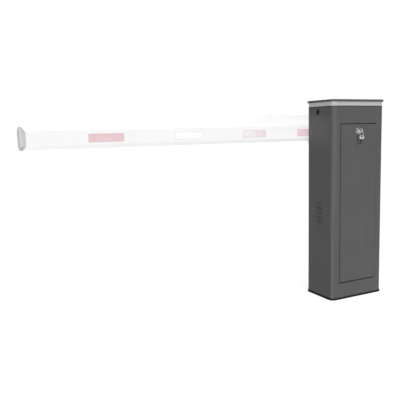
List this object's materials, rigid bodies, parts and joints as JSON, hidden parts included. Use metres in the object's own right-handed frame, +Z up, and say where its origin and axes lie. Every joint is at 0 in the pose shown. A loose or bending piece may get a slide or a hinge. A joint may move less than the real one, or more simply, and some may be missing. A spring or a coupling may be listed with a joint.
{
  "type": "boom barrier",
  "caption": "Dark grey sheet steel barrier cabinet with a tilt-out service door, light band and cap, and a white octagonal boom that lifts on a shaft at the back.",
  "frame": {"origin": "middle of the anchor hole pattern, on the underside of the cabinet foot, at floor level", "axes": "+Z up, -Y out of the service door, -X along the lowered boom towards its free end"},
  "size_m": [1.747, 0.3505, 1.005],
  "materials": {
    "cabinet_paint": "satin dark grey powder coat",
    "black_rubber": "matt black rubber",
    "zinc_steel": "zinc plated steel",
    "shaft_steel": "turned steel",
    "diffuser": "frosted light diffuser",
    "black_plastic": "moulded black plastic",
    "gear_casting": "sand blasted casting",
    "motor_paint": "black enamel",
    "sensor_plastic": "blue plastic",
    "control_plastic": "light grey plastic",
    "perforated_steel": "perforated sheet",
    "terminal_plastic": "grey terminals",
    "breaker_plastic": "white plastic",
    "lock_chrome": "nickel plated",
    "key_steel": "nickel plated key",
    "cam_brass": "brass",
    "boom_paint": "gloss white powder coat",
    "cap_plastic": "light grey moulding",
    "reflector_red": "faded red reflective film",
    "reflector_white": "white reflective film"
  },
  "bodies": {
    "cabinet": {"base_gasket": "black_rubber", "base_plate": "zinc_steel", "cabinet_shell": "cabinet_paint", "left_louvres": "cabinet_paint", "right_louvres": "cabinet_paint", "door_frame_left": "cabinet_paint", "door_frame_right": "cabinet_paint", "door_frame_top": "cabinet_paint", "door_sill": "cabinet_paint", "door_pivot_pins": "zinc_steel", "top_frame": "black_plastic", "light_band": "diffuser", "top_cap": "cabinet_paint", "crank_plug": "black_plastic", "shaft_seal": "black_rubber", "rear_stiffener": "zinc_steel", "output_flange": "gear_casting", "gearbox_housing": "gear_casting", "drive_motor": "motor_paint", "crank_stub": "zinc_steel", "spring_drum": "motor_paint", "limit_sensor": "sensor_plastic", "mounting_panel": "zinc_steel", "control_box": "control_plastic", "power_supply": "perforated_steel", "terminal_rail": "zinc_steel", "terminal_blocks": "terminal_plastic", "circuit_breaker": "breaker_plastic"},
    "boom": {"main_shaft": "shaft_steel", "limit_cam": "cam_brass", "carrier_plate": "boom_paint", "support_arm": "boom_paint", "clamp_bolts": "zinc_steel", "boom_tube": "boom_paint", "boom_end_cap": "cap_plastic", "boom_tail_cap": "cap_plastic", "reflector_1": "reflector_red", "reflector_2": "reflector_red", "reflector_3": "reflector_white", "reflector_4": "reflector_red"},
    "door": {"door_panel": "cabinet_paint", "door_gasket": "black_rubber", "lock_housing": "lock_chrome"},
    "lock": {"lock_plug": "lock_chrome", "key": "key_steel", "key_ring": "key_steel", "spare_key": "key_steel"}
  },
  "joints": [
    {"name": "boom_lift", "type": "hinge", "parent": "cabinet", "child": "boom", "pos_m": [0, 0.12, 0.848], "axis": [0, 1, 0], "range_deg": [0, 90]},
    {"name": "door_tilt", "type": "hinge", "parent": "cabinet", "child": "door", "pos_m": [0, -0.096, 0.101], "axis": [1, 0, 0], "range_deg": [0, 30]},
    {"name": "lock_turn", "type": "hinge", "parent": "door", "child": "lock", "pos_m": [-0.005, -0.095, 0.851], "axis": [0, -1, 0], "range_deg": [0, 90]}
  ]
}
